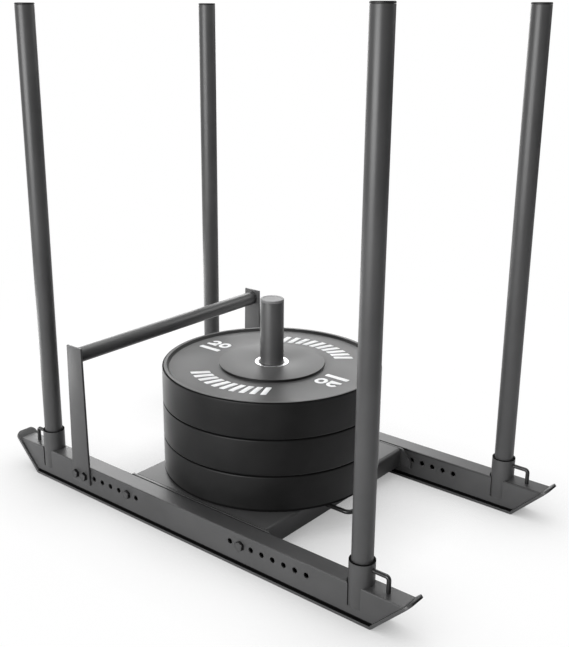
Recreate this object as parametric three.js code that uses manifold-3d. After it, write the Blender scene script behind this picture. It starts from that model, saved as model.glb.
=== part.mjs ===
// Push sled with three weight plates on its horn.
// Millimetres, +Z up, +X forward, +Y to the left, origin on the floor under the middle of the sled.

import * as THREE from 'three';
import { mergeVertices } from 'three/addons/utils/BufferGeometryUtils.js';
import Module from 'manifold-3d';

// Layout of the sled
const poleSpacing = 812.8; // between the pole axes of one rail
const fitGap = 0.3; // left between pieces that touch
const cutOverrun = 8; // how far a cutting tool runs past what it cuts

// Rail tubes
const railWidth = 40;
const railHeight = 60;
const railWall = 3;
const railCornerRadius = 4;

// Row of adjusting holes at each end of a rail
const holeDiameter = 11;
const holePitch = 25.4;
const holesInRow = 8;
const poleHoleSpacing = 101.6; // from the last hole of each row to the pole axis
const holeDrop = 21.8; // below the top of the rail

// Skid plates under the rails
const skidWidth = 50;
const skidThickness = 6;
const skidFootLength = 36.6; // flat length past the pole axis
const skidFlapLength = 103.5; // along the outside of each turned-up end
const skidFlapAngle = Math.PI / 4;
const skidTipRadius = 14;

// Sleeves that hold the poles
const sleeveDiameter = 46;
const sleeveBore = 40.4;
const sleeveRise = 43; // above the top of the rail
const sleeveDepth = 42; // below the top of the rail

// Poles and their plugs
const poleDiameter = 38;
const poleWall = 2.5;
const poleLength = 960.3;
const plugFlange = 3.5;
const plugEdgeRadius = 1.6;
const plugStemLength = 22;
const plugStemClearance = 0.3;

// Tie-down loops between sleeve and rail
const tieRodDiameter = 8;
const tieRise = 29; // centre line above the top of the rail
const tieReach = 53.5; // centre line from the pole axis
const tieBendRadius = 6;

// Weight tray with its flanges
const trayHoleIndex = 1; // in each row of holes, for the bolts that hold the tray
const trayWallMargin = 25.6; // from the bolt out to the tray's outer wall face
const trayDepth = 40;
const traySheet = 5;
const flangeThickness = 6;
const flangeEndMargin = 51.6; // from the bolt out to the end of the flange
const flangeTopMargin = 27.6; // from the bolt out to the end of its top edge
const flangeShoulderHeight = 16; // from the flange's foot up to where its corners slope

// Pull loop on the tray's front wall
const pullRodDiameter = 9;
const pullWidth = 88; // between the centre lines of its legs
const pullReach = 57;
const pullBendRadius = 13;
const pullDrop = 23; // below the top of the tray

// Horn that the weight plates slide over
const hornDiameter = 48;
const hornWall = 3.5;
const hornRise = 353.6; // tube above the tray's top
const hornFootDepth = 35; // tube below the tray's top
const capThickness = 5;
const capEdgeRadius = 1.6;
const capStemLength = 18;
const capStemClearance = 0.3;

// Weight plates and their hub rings
const plateDiameter = 450;
const plateThickness = 74.6;
const plateEdgeRadius = 4;
const rimWidth = 9.5; // flat ring at the plate's edge, at the full thickness
const rimSlope = 5; // run of the slope from the rim down to the recess
const recessDepth = 5;
const raisedHubDiameter = 216;
const hubRingDiameter = 69;
const hubRingBore = 51;
const hubRingChamfer = 3;
const plateSideClearance = 8.2; // between a plate and the rails' inner faces, seen from above

// Push handle
const postThickness = 5;
const postHeight = 303;
const postTopWidth = 43.4;
const postFootWidth = 53.5;
const postFootDrop = 17.5; // below the holes
const postShift = 2.1; // forward of the middle of its two holes
const handleHoles = [2, 1]; // that hold a post, counted from the last hole of the rear row
const barDiameter = 31;
const barWall = 2;
const barDrop = 20.8; // centre line below the top of the posts

// Bolts and nuts
const boltDiameter = 10;
const boltHeadAcross = 17; // across the flats
const boltHeadHeight = 6.4;
const boltTail = 4; // past the nut
const nutHeight = 8;
const nutBoreClearance = 0.3;

// Number of sides or steps of the round forms
const poleSides = 24;
const plugSides = 20;
const plateSides = 44;
const hubSides = 24;
const rodSides = 8;
const rodSteps = 16;
const holeSides = 10;
const hexSides = 6;
const arcSteps = 4; // in a quarter turn of an outline
const edgeSteps = 2; // in a quarter turn of a turned profile

// Heights and places that follow
const railBase = skidThickness + fitGap;
const railTop = railBase + railHeight;
const holeHeight = railTop - holeDrop;
const railInside = plateDiameter / 2 + plateSideClearance;
const railY = railInside + railWidth / 2;
const railOutside = railInside + railWidth;
const flangeOutside = railInside - fitGap;
const flangeInside = flangeOutside - flangeThickness;
const trayTop = railTop;
const plateBase = trayTop + fitGap;
const poleFoot = railTop - sleeveDepth; // on the edges of the rail's side walls, at the sleeve's foot
const poleX = poleSpacing / 2;
const skidFlatEnd = poleX + skidFootLength;
const rowStart = poleX - poleHoleSpacing - (holesInRow - 1) * holePitch; // first hole of each row
const rowDistances = Array.from({ length: holesInRow }, (_, i) => rowStart + i * holePitch);
const trayBoltX = rowDistances[trayHoleIndex];
const trayWallX = trayBoltX + trayWallMargin;
const sides = { right: -1, left: 1 };
const ends = { front: 1, rear: -1 };

const wasm = await Module();
wasm.setup();

// Closed three.js geometry to a solid, with shared corners merged and flat triangles dropped
function toSolid(geometry) {
  const bare = new THREE.BufferGeometry();
  bare.setAttribute('position', geometry.getAttribute('position').clone());
  if (geometry.index) bare.setIndex(geometry.index.clone());
  const merged = mergeVertices(bare);
  const corners = merged.index.array;
  const kept = [];
  for (let i = 0; i < corners.length; i += 3) {
    const [a, b, c] = [corners[i], corners[i + 1], corners[i + 2]];
    if (a !== b && b !== c && c !== a) kept.push(a, b, c);
  }
  const mesh = new wasm.Mesh({
    numProp: 3,
    vertProperties: new Float32Array(merged.getAttribute('position').array),
    triVerts: new Uint32Array(kept),
  });
  return new wasm.Manifold(mesh);
}

function toGeometry(solid) {
  const mesh = solid.getMesh();
  const geometry = new THREE.BufferGeometry();
  geometry.setAttribute('position', new THREE.BufferAttribute(mesh.vertProperties, 3));
  geometry.setIndex(new THREE.BufferAttribute(mesh.triVerts, 1));
  geometry.computeVertexNormals();
  return geometry;
}

function cutAway(geometry, cutters) {
  let solid = toSolid(geometry);
  for (const cutter of cutters) solid = solid.subtract(toSolid(cutter));
  return toGeometry(solid);
}

function keepInside(geometry, envelope) {
  return toGeometry(toSolid(geometry).intersect(toSolid(envelope)));
}

function joined(first, second) {
  return toGeometry(toSolid(first).add(toSolid(second)));
}

// Profile of [radius, height] points, anticlockwise, turned about Z
function revolved(profile, sideCount) {
  const points = profile.map(([radius, height]) => new THREE.Vector2(radius, height));
  const geometry = new THREE.LatheGeometry(points, sideCount);
  geometry.rotateX(Math.PI / 2);
  return toGeometry(toSolid(geometry));
}

function roundBar(radius, bottom, top, sideCount) {
  return revolved([[0, bottom], [radius, bottom], [radius, top], [0, top]], sideCount);
}

function roundTube(radius, boreRadius, bottom, top, sideCount) {
  return revolved([
    [boreRadius, bottom], [radius, bottom], [radius, top], [boreRadius, top], [boreRadius, bottom],
  ], sideCount);
}

// Points of a quarter turn on a profile, from startAngle, about a centre
function quarterTurn(centreRadius, centreHeight, radius, startAngle) {
  const points = [];
  for (let i = 0; i <= edgeSteps; i += 1) {
    const angle = startAngle + (Math.PI / 2) * (i / edgeSteps);
    points.push([centreRadius + radius * Math.cos(angle), centreHeight + radius * Math.sin(angle)]);
  }
  return points;
}

// Outline in X and Z, extruded along Y about its middle
function slabAlongY(shape, thickness) {
  const geometry = new THREE.ExtrudeGeometry(shape, { depth: thickness, bevelEnabled: false });
  geometry.translate(0, 0, -thickness / 2);
  geometry.rotateX(Math.PI / 2);
  return geometry;
}

// Outline in Y and Z, extruded along X about its middle
function slabAlongX(shape, length) {
  const geometry = new THREE.ExtrudeGeometry(shape, {
    depth: length, bevelEnabled: false, curveSegments: arcSteps / 2,
  });
  geometry.translate(0, 0, -length / 2);
  const axes = new THREE.Matrix4().makeBasis(
    new THREE.Vector3(0, 1, 0), new THREE.Vector3(0, 0, 1), new THREE.Vector3(1, 0, 0),
  );
  geometry.applyMatrix4(axes);
  return geometry;
}

function outline(points) {
  return new THREE.Shape(points.map(([x, y]) => new THREE.Vector2(x, y)));
}

// Rectangle about x = 0 that stands on y = base, with round corners
function roundedRectangle(path, width, height, base, radius) {
  const right = width / 2;
  const top = base + height;
  path.moveTo(-right + radius, base);
  path.lineTo(right - radius, base);
  path.absarc(right - radius, base + radius, radius, -Math.PI / 2, 0, false);
  path.lineTo(right, top - radius);
  path.absarc(right - radius, top - radius, radius, 0, Math.PI / 2, false);
  path.lineTo(-right + radius, top);
  path.absarc(-right + radius, top - radius, radius, Math.PI / 2, Math.PI, false);
  path.lineTo(-right, base + radius);
  path.absarc(-right + radius, base + radius, radius, Math.PI, 1.5 * Math.PI, false);
  return path;
}

// Round rod along corner points, each inner corner bent to the same radius.
// An extruded arc takes two points for each of its curveSegments.
function bentRod(corners, bendRadius, diameter) {
  const arcHandleShare = 0.5523; // handle of a cubic curve that follows a quarter circle
  const path = new THREE.CurvePath();
  let from = corners[0];
  for (let i = 1; i < corners.length - 1; i += 1) {
    const corner = corners[i];
    const before = corners[i - 1].clone().sub(corner).setLength(bendRadius);
    const after = corners[i + 1].clone().sub(corner).setLength(bendRadius);
    const bendStart = corner.clone().add(before);
    const bendEnd = corner.clone().add(after);
    path.add(new THREE.LineCurve3(from, bendStart));
    path.add(new THREE.CubicBezierCurve3(
      bendStart,
      corner.clone().addScaledVector(before, 1 - arcHandleShare),
      corner.clone().addScaledVector(after, 1 - arcHandleShare),
      bendEnd,
    ));
    from = bendEnd;
  }
  path.add(new THREE.LineCurve3(from, corners.at(-1)));
  const section = new THREE.Shape().absarc(0, 0, diameter / 2, 0, 2 * Math.PI, false);
  const geometry = new THREE.ExtrudeGeometry(section, {
    steps: rodSteps, extrudePath: path, curveSegments: rodSides / 2,
  });
  return toGeometry(toSolid(geometry));
}

const powderCoat = { color: 0x36373a, roughness: 0.5, metalness: 0.3 };
const blackPlastic = { color: 0x1b1b1c, roughness: 0.6, metalness: 0 };
const greyPlastic = { color: 0xa6a7a8, roughness: 0.5, metalness: 0 };
const blackRubber = { color: 0x2a2a2b, roughness: 0.75, metalness: 0 };
const brightSteel = { color: 0xd4d4d2, roughness: 0.3, metalness: 1 };
const blackFastener = { color: 0x28292b, roughness: 0.45, metalness: 0.5 };

function addPart(parent, name, geometry, finish) {
  const mesh = new THREE.Mesh(geometry, new THREE.MeshStandardMaterial(finish));
  mesh.name = name;
  parent.add(mesh);
  return mesh;
}

// Skid plate: flat foot with both ends turned up and the tips' corners rounded
function skidGeometry() {
  const run = skidFlapLength * Math.cos(skidFlapAngle);
  const rise = skidFlapLength * Math.sin(skidFlapAngle);
  const innerBend = skidFlatEnd - skidThickness * Math.tan(skidFlapAngle / 2);
  const innerTip = [
    skidFlatEnd + run - skidThickness * Math.sin(skidFlapAngle),
    rise + skidThickness * Math.cos(skidFlapAngle),
  ];
  const half = [[skidFlatEnd, 0], [skidFlatEnd + run, rise], innerTip, [innerBend, skidThickness]];
  const otherHalf = half.map(([x, z]) => [-x, z]).reverse();
  const plate = slabAlongY(outline([...half, ...otherHalf]), skidWidth);

  // Outside of a round corner, in the plane of the turned-up end
  const edge = skidWidth / 2;
  const cornerWaste = outline([
    [skidFlapLength - skidTipRadius, edge + cutOverrun],
    [skidFlapLength - skidTipRadius, edge],
  ]);
  cornerWaste.absarc(
    skidFlapLength - skidTipRadius, edge - skidTipRadius, skidTipRadius, Math.PI / 2, 0, true,
  );
  cornerWaste.lineTo(skidFlapLength + cutOverrun, edge - skidTipRadius);
  cornerWaste.lineTo(skidFlapLength + cutOverrun, edge + cutOverrun);
  const cutters = [];
  for (const end of Object.values(ends)) {
    for (const side of Object.values(sides)) {
      const cutter = new THREE.ExtrudeGeometry(cornerWaste, {
        depth: skidThickness + 2 * cutOverrun, bevelEnabled: false, curveSegments: arcSteps / 2,
      });
      cutter.translate(0, 0, -cutOverrun);
      if (side < 0) cutter.applyMatrix4(new THREE.Matrix4().makeScale(1, -1, -1));
      if (side < 0) cutter.translate(0, 0, skidThickness);
      cutter.rotateY(-skidFlapAngle);
      cutter.translate(skidFlatEnd, 0, 0);
      if (end < 0) cutter.rotateZ(Math.PI);
      cutters.push(cutter);
    }
  }
  return cutAway(plate, cutters);
}

// Rail tube: ends cut to the turned-up skid, openings for the sleeves and two rows of holes
function railGeometry() {
  const halfLength = skidFlatEnd + skidFlapLength;
  const section = roundedRectangle(new THREE.Shape(), railWidth, railHeight, 0, railCornerRadius);
  const bore = roundedRectangle(
    new THREE.Path(), railWidth - 2 * railWall, railHeight - 2 * railWall, railWall,
    Math.max(railCornerRadius - railWall, railWall / 3),
  );
  section.holes.push(bore);
  const tube = slabAlongX(section, 2 * halfLength);

  // The inner face of the turned-up end, moved in by the fit gap, as a line in X and Z
  const slope = 1 / Math.tan(skidFlapAngle);
  const clearance = (skidThickness + fitGap) / Math.sin(skidFlapAngle);
  const endAt = (height) => skidFlatEnd - clearance + (height + railBase) * slope;
  const low = -cutOverrun;
  const high = railHeight + cutOverrun;
  const sideView = outline([
    [-endAt(low), low], [endAt(low), low], [endAt(high), high], [-endAt(high), high],
  ]);
  const trimmed = keepInside(tube, slabAlongY(sideView, railWidth + 2 * cutOverrun));

  const cutters = [];
  for (const end of Object.values(ends)) {
    const opening = roundBar(
      sleeveDiameter / 2 + fitGap, railHeight - sleeveDepth - fitGap, railHeight + cutOverrun, poleSides,
    );
    opening.translate(end * poleX, 0, 0);
    cutters.push(opening);
    for (const distance of rowDistances) {
      const reach = railWidth / 2 + cutOverrun;
      const hole = roundBar(holeDiameter / 2, -reach, reach, holeSides);
      hole.rotateX(Math.PI / 2);
      hole.translate(end * distance, 0, railHeight - holeDrop);
      cutters.push(hole);
    }
  }
  return cutAway(trimmed, cutters);
}

// Loop of rod from the sleeve out along the rail and down onto it, about the pole axis
function tieLoopGeometry() {
  const rod = bentRod([
    new THREE.Vector3(sleeveBore / 2, 0, tieRise),
    new THREE.Vector3(tieReach, 0, tieRise),
    new THREE.Vector3(tieReach, 0, fitGap),
  ], tieBendRadius, tieRodDiameter);
  const tieTop = tieRise + tieRodDiameter + cutOverrun;
  return cutAway(rod, [roundBar(sleeveDiameter / 2 + fitGap, -cutOverrun, tieTop, poleSides)]);
}

// Plug with a round-edged flange below and a stem above it
function plugGeometry(radius, flange, edgeRadius, stemRadius, stemLength) {
  return revolved([
    [0, 0],
    ...quarterTurn(radius - edgeRadius, edgeRadius, edgeRadius, -Math.PI / 2),
    [radius, flange],
    [stemRadius, flange],
    [stemRadius, flange + stemLength],
    [0, flange + stemLength],
  ], plugSides);
}

// Folded tray: flat top with a wall down each side, and a hole for the horn
function trayGeometry() {
  const inner = trayWallX - traySheet;
  const section = outline([
    [-trayWallX, -trayDepth], [-inner, -trayDepth], [-inner, -traySheet], [inner, -traySheet],
    [inner, -trayDepth], [trayWallX, -trayDepth], [trayWallX, 0], [-trayWallX, 0],
  ]);
  const folded = slabAlongY(section, 2 * (flangeInside - fitGap));
  const hornHole = roundBar(hornDiameter / 2 + fitGap, -traySheet - cutOverrun, cutOverrun, poleSides);
  return cutAway(folded, [hornHole]);
}

// Hole along Y through a slab of the given thickness
function boltHole(x, z, thickness) {
  const reach = thickness / 2 + cutOverrun;
  const hole = roundBar(holeDiameter / 2, -reach, reach, holeSides);
  hole.rotateX(Math.PI / 2);
  hole.translate(x, 0, z);
  return hole;
}

// Flange at the tray's end, with sloping shoulders and a bolt hole at each end
function flangeGeometry() {
  const half = trayBoltX + flangeEndMargin;
  const topHalf = trayBoltX + flangeTopMargin;
  const shoulder = flangeShoulderHeight - trayDepth;
  const plate = slabAlongY(outline([
    [-half, -trayDepth], [half, -trayDepth], [half, shoulder],
    [topHalf, 0], [-topHalf, 0], [-half, shoulder],
  ]), flangeThickness);
  return cutAway(plate, Object.values(ends).map(
    (end) => boltHole(end * trayBoltX, -holeDrop, flangeThickness),
  ));
}

function pullLoopGeometry() {
  const leg = pullWidth / 2;
  return bentRod([
    new THREE.Vector3(fitGap, -leg, 0),
    new THREE.Vector3(pullReach, -leg, 0),
    new THREE.Vector3(pullReach, leg, 0),
    new THREE.Vector3(fitGap, leg, 0),
  ], pullBendRadius, pullRodDiameter);
}

// Rubber disc: raised rim and hub on both faces, with a recess between them
function plateGeometry() {
  const radius = plateDiameter / 2;
  const bore = hubRingDiameter / 2 + fitGap;
  const hub = raisedHubDiameter / 2;
  const rimInside = radius - rimWidth;
  const recessOutside = rimInside - rimSlope;
  const top = plateThickness;
  return revolved([
    [bore, 0], [hub, 0], [hub, recessDepth], [recessOutside, recessDepth], [rimInside, 0],
    ...quarterTurn(radius - plateEdgeRadius, plateEdgeRadius, plateEdgeRadius, -Math.PI / 2),
    ...quarterTurn(radius - plateEdgeRadius, top - plateEdgeRadius, plateEdgeRadius, 0),
    [rimInside, top], [recessOutside, top - recessDepth], [hub, top - recessDepth], [hub, top],
    [bore, top], [bore, 0],
  ], plateSides);
}

function hubRingGeometry() {
  const radius = hubRingDiameter / 2;
  const bore = hubRingBore / 2;
  const top = plateThickness;
  return revolved([
    [bore, hubRingChamfer], [bore + hubRingChamfer, 0], [radius, 0], [radius, top],
    [bore + hubRingChamfer, top], [bore, top - hubRingChamfer], [bore, hubRingChamfer],
  ], hubSides);
}

// Middle of the two holes that hold a handle post, as a place on X
const handleHoleX = handleHoles.map((count) => -rowDistances.at(-count));
const postX = (handleHoleX[0] + handleHoleX[1]) / 2 + postShift;
const postFoot = holeHeight - postFootDrop;

// Flat post that narrows upwards, about its own foot
function postGeometry() {
  const plate = slabAlongY(outline([
    [-postFootWidth / 2, 0], [postFootWidth / 2, 0],
    [postTopWidth / 2, postHeight], [-postTopWidth / 2, postHeight],
  ]), postThickness);
  return cutAway(plate, handleHoleX.map((x) => boltHole(x - postX, postFootDrop, postThickness)));
}

// Hex bolt along Y: the head lies outside y = 0, the shank reaches inwards
function boltGeometry(grip) {
  const headRadius = boltHeadAcross / 2 / Math.cos(Math.PI / hexSides);
  const length = grip + nutHeight + boltTail;
  const head = roundBar(headRadius, -boltHeadHeight, 0, hexSides);
  const shank = roundBar(boltDiameter / 2, -boltHeadHeight / 2, length, holeSides);
  const bolt = joined(head, shank);
  bolt.rotateX(-Math.PI / 2);
  return bolt;
}

function nutGeometry() {
  const nutRadius = boltHeadAcross / 2 / Math.cos(Math.PI / hexSides);
  const bore = boltDiameter / 2 + nutBoreClearance;
  const blank = roundBar(nutRadius, 0, nutHeight, hexSides);
  const nut = cutAway(blank, [roundBar(bore, -cutOverrun, nutHeight + cutOverrun, holeSides)]);
  nut.rotateX(-Math.PI / 2);
  return nut;
}

// A bolt with its nut through one side of the sled, seated at an outer and an inner distance
function addBolt(parent, boltName, nutName, side, x, seatOutside, seatInside) {
  const grip = seatOutside - seatInside;
  const place = new THREE.Group();
  place.position.set(x, side * (seatOutside + fitGap), holeHeight);
  place.rotation.z = side > 0 ? Math.PI : 0;
  parent.add(place);
  addPart(place, boltName, boltGeometry(grip + 2 * fitGap), blackFastener);
  const nut = addPart(place, nutName, nutGeometry(), blackFastener);
  nut.position.y = grip + 2 * fitGap;
}

const sled = new THREE.Group();

// Rails on their skids, with sleeves and tie-down loops
for (const [sideName, side] of Object.entries(sides)) {
  const skid = addPart(sled, `skid_${sideName}`, skidGeometry(), powderCoat);
  skid.position.y = side * railY;
  const rail = addPart(sled, `rail_${sideName}`, railGeometry(), powderCoat);
  rail.position.set(0, side * railY, railBase);
  for (const [endName, end] of Object.entries(ends)) {
    const corner = new THREE.Group();
    corner.position.set(end * poleX, side * railY, railTop);
    corner.rotation.z = end < 0 ? Math.PI : 0;
    sled.add(corner);
    const sleeve = roundTube(
      sleeveDiameter / 2, sleeveBore / 2, -sleeveDepth, sleeveRise, poleSides,
    );
    addPart(corner, `sleeve_${endName}_${sideName}`, sleeve, powderCoat);
    addPart(corner, `tie_loop_${endName}_${sideName}`, tieLoopGeometry(), powderCoat);
  }
}

// Poles that drop into the sleeves and stand on the rails' side walls
for (const [sideName, side] of Object.entries(sides)) {
  for (const [endName, end] of Object.entries(ends)) {
    const place = `${endName}_${sideName}`;
    const pole = new THREE.Group();
    pole.position.set(end * poleX, side * railY, poleFoot);
    sled.add(pole);
    const boreRadius = poleDiameter / 2 - poleWall;
    const plug = () => plugGeometry(
      poleDiameter / 2, plugFlange, plugEdgeRadius, boreRadius - plugStemClearance, plugStemLength,
    );
    addPart(pole, `pole_foot_plug_${place}`, plug(), blackPlastic);
    const tubeBase = plugFlange + fitGap;
    const tube = roundTube(poleDiameter / 2, boreRadius, 0, poleLength, poleSides);
    addPart(pole, `pole_${place}`, tube, powderCoat).position.z = tubeBase;
    const topPlug = addPart(pole, `pole_top_plug_${place}`, plug(), blackPlastic);
    topPlug.position.z = tubeBase + poleLength + fitGap + plugFlange;
    topPlug.rotation.x = Math.PI;
  }
}

// Tray between the rails, bolted through its flanges
const tray = addPart(sled, 'weight_tray', trayGeometry(), powderCoat);
tray.position.z = trayTop;
for (const [sideName, side] of Object.entries(sides)) {
  const flange = addPart(sled, `tray_flange_${sideName}`, flangeGeometry(), powderCoat);
  flange.position.set(0, side * (flangeOutside - flangeThickness / 2), trayTop);
  for (const [endName, end] of Object.entries(ends)) {
    const x = end * trayBoltX;
    const place = `${endName}_${sideName}`;
    addBolt(sled, `tray_bolt_${place}`, `tray_nut_${place}`, side, x, railOutside, flangeInside);
  }
}
const pullLoop = addPart(sled, 'pull_loop', pullLoopGeometry(), powderCoat);
pullLoop.position.set(trayWallX, 0, trayTop - pullDrop);

// Horn through the tray, with its cap
const hornTube = roundTube(
  hornDiameter / 2, hornDiameter / 2 - hornWall, -hornFootDepth, hornRise, poleSides,
);
addPart(sled, 'horn_tube', hornTube, powderCoat).position.z = trayTop;
const hornCap = addPart(sled, 'horn_cap', plugGeometry(
  hornDiameter / 2, capThickness, capEdgeRadius,
  hornDiameter / 2 - hornWall - capStemClearance, capStemLength,
), greyPlastic);
hornCap.position.z = trayTop + hornRise + fitGap + capThickness;
hornCap.rotation.x = Math.PI;

// Weight plates stacked on the tray
for (const [level, name] of ['bottom', 'middle', 'top'].entries()) {
  const height = plateBase + level * (plateThickness + fitGap);
  addPart(sled, `plate_${name}`, plateGeometry(), blackRubber).position.z = height;
  addPart(sled, `hub_ring_${name}`, hubRingGeometry(), brightSteel).position.z = height;
}

// Push handle across the rear: a post bolted to each rail and a bar between them
for (const [sideName, side] of Object.entries(sides)) {
  const post = addPart(sled, `handle_post_${sideName}`, postGeometry(), powderCoat);
  const postY = railOutside + fitGap + postThickness / 2;
  post.position.set(postX, side * postY, postFoot);
  handleHoleX.forEach((x, index) => {
    const place = `${sideName}_${index + 1}`;
    const seat = postY + postThickness / 2;
    addBolt(sled, `handle_bolt_${place}`, `handle_nut_${place}`, side, x, seat, railInside);
  });
}
const barLength = 2 * railOutside;
const bar = roundTube(barDiameter / 2, barDiameter / 2 - barWall, -barLength / 2, barLength / 2, poleSides);
const handleBar = addPart(sled, 'handle_bar', bar, powderCoat);
handleBar.position.set(postX, 0, postFoot + postHeight - barDrop);
handleBar.rotation.x = Math.PI / 2;

export default sled;
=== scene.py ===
import math

import bmesh
import bpy
import numpy as np
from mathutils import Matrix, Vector


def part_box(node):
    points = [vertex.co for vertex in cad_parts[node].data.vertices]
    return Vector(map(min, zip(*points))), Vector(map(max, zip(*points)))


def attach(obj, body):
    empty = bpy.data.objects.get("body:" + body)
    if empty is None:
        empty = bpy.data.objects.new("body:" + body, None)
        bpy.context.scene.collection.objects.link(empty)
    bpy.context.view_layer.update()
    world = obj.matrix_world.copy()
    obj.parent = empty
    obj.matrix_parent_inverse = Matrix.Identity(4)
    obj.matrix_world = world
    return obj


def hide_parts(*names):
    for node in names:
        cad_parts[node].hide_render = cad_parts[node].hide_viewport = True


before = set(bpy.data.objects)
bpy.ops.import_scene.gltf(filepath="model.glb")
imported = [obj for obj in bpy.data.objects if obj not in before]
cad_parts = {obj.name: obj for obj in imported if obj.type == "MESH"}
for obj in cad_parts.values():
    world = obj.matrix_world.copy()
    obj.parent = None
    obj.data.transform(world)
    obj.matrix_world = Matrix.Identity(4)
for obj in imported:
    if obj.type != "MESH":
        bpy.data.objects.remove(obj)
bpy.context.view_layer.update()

print("frame loaded")

# Looks of a push sled with three weight plates, in metres: +X forward, +Y to the left, +Z up

mm = 0.001
sides = {"right": -1, "left": 1}
ends = {"front": 1, "rear": -1}
levels = ["bottom", "middle", "top"]
square = np.array([[-1.0, -1.0], [1.0, -1.0], [1.0, 1.0], [-1.0, 1.0]])

# Surfaces

# Lengths in metres, for all meshes; a corner without a radius gets the sharp corner's
meshSizes = {"merge": 2e-6, "degenerate": 1e-7, "sharpCorner": 1e-6, "sharpAngle": 32, "clear": 1.01}


# Rounds every corner of a closed outline: an arc of the corner's radius, tangent to both edges
def filleted(points, radii, steps=5):
    corner = np.asarray(points, float)
    radius = np.broadcast_to(radii, len(corner)).astype(float)
    radius = np.maximum(radius, meshSizes["sharpCorner"])[:, None]
    back = np.roll(corner, 1, 0) - corner
    ahead = np.roll(corner, -1, 0) - corner
    back /= np.linalg.norm(back, axis=1, keepdims=True)
    ahead /= np.linalg.norm(ahead, axis=1, keepdims=True)
    half = np.arccos(np.clip((back * ahead).sum(1, keepdims=True), -1, 1)) / 2
    bisector = back + ahead
    bisector /= np.linalg.norm(bisector, axis=1, keepdims=True)
    centre = corner + bisector * radius / np.sin(half)
    start = corner + back * radius / np.tan(half) - centre
    stop = corner + ahead * radius / np.tan(half) - centre
    turn = (np.pi - 2 * half)[:, None, :]
    share = np.linspace(0, 1, steps + 1)[None, :, None]
    startShare, stopShare = np.sin((1 - share) * turn), np.sin(share * turn)
    arc = (startShare * start[:, None] + stopShare * stop[:, None]) / np.sin(turn)
    return (centre[:, None] + arc).reshape(-1, corner.shape[1])


# Section of a tube: from the bore to the outer radius between two heights, with rounded corners
def tubeOutline(size, low, high, edges, steps=3):
    corners = [(size["bore"], low), (size["radius"], low), (size["radius"], high), (size["bore"], high)]
    return filleted(corners, edges, steps)


# Quads between neighbouring points of a grid that may close on itself either way
def gridFaces(rows, columns, closeRows, closeColumns, first=0):
    i, j = np.meshgrid(
        np.arange(rows if closeRows else rows - 1),
        np.arange(columns if closeColumns else columns - 1), indexing="ij")
    down, over = (i + 1) % rows, (j + 1) % columns
    quads = np.stack([i * columns + j, down * columns + j, down * columns + over, i * columns + over], -1)
    return quads.reshape(-1, 4) + first


# One mesh from grids of points, each given as (points, closeRows, closeColumns)
def meshPiece(name, grids, sharpAngle=meshSizes["sharpAngle"]):
    vertices, faces, count = [], [], 0
    for points, closeRows, closeColumns in grids:
        rows, columns = points.shape[:2]
        vertices.append(points.reshape(-1, 3))
        faces.append(gridFaces(rows, columns, closeRows, closeColumns, count))
        count += rows * columns
    mesh = bpy.data.meshes.new(name)
    mesh.from_pydata(np.concatenate(vertices).tolist(), [], np.concatenate(faces).tolist())
    shape = bmesh.new()
    shape.from_mesh(mesh)
    bmesh.ops.remove_doubles(shape, verts=shape.verts, dist=meshSizes["merge"])
    bmesh.ops.dissolve_degenerate(shape, edges=shape.edges, dist=meshSizes["degenerate"])
    bmesh.ops.recalc_face_normals(shape, faces=shape.faces)
    shape.to_mesh(mesh)
    shape.free()
    mesh.shade_smooth()
    mesh.set_sharp_from_angle(angle=math.radians(sharpAngle))
    piece = bpy.data.objects.new(name, mesh)
    bpy.context.scene.collection.objects.link(piece)
    return piece


# A closed outline of (radius, height) turned about a vertical axis:
# x = axis + radius cos(angle), y = axis + radius sin(angle)
def turnedGrid(outline, axis, sideCount):
    angle = np.linspace(0, 2 * np.pi, sideCount, endpoint=False)
    radius, height = np.asarray(outline, float).T
    x = axis[0] + radius[:, None] * np.cos(angle)
    y = axis[1] + radius[:, None] * np.sin(angle)
    z = np.broadcast_to(height[:, None], x.shape)
    return np.stack([x, y, z], -1), True, True


# The same about an axis along Y, so that the outline's height runs along Y
def turnedAlongY(outline, x, z, sideCount):
    points, closeRows, closeColumns = turnedGrid(outline, (0, 0), sideCount)
    across, up, along = points[..., 0], points[..., 1], points[..., 2]
    return np.stack([x + across, along, z + up], -1), closeRows, closeColumns


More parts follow.
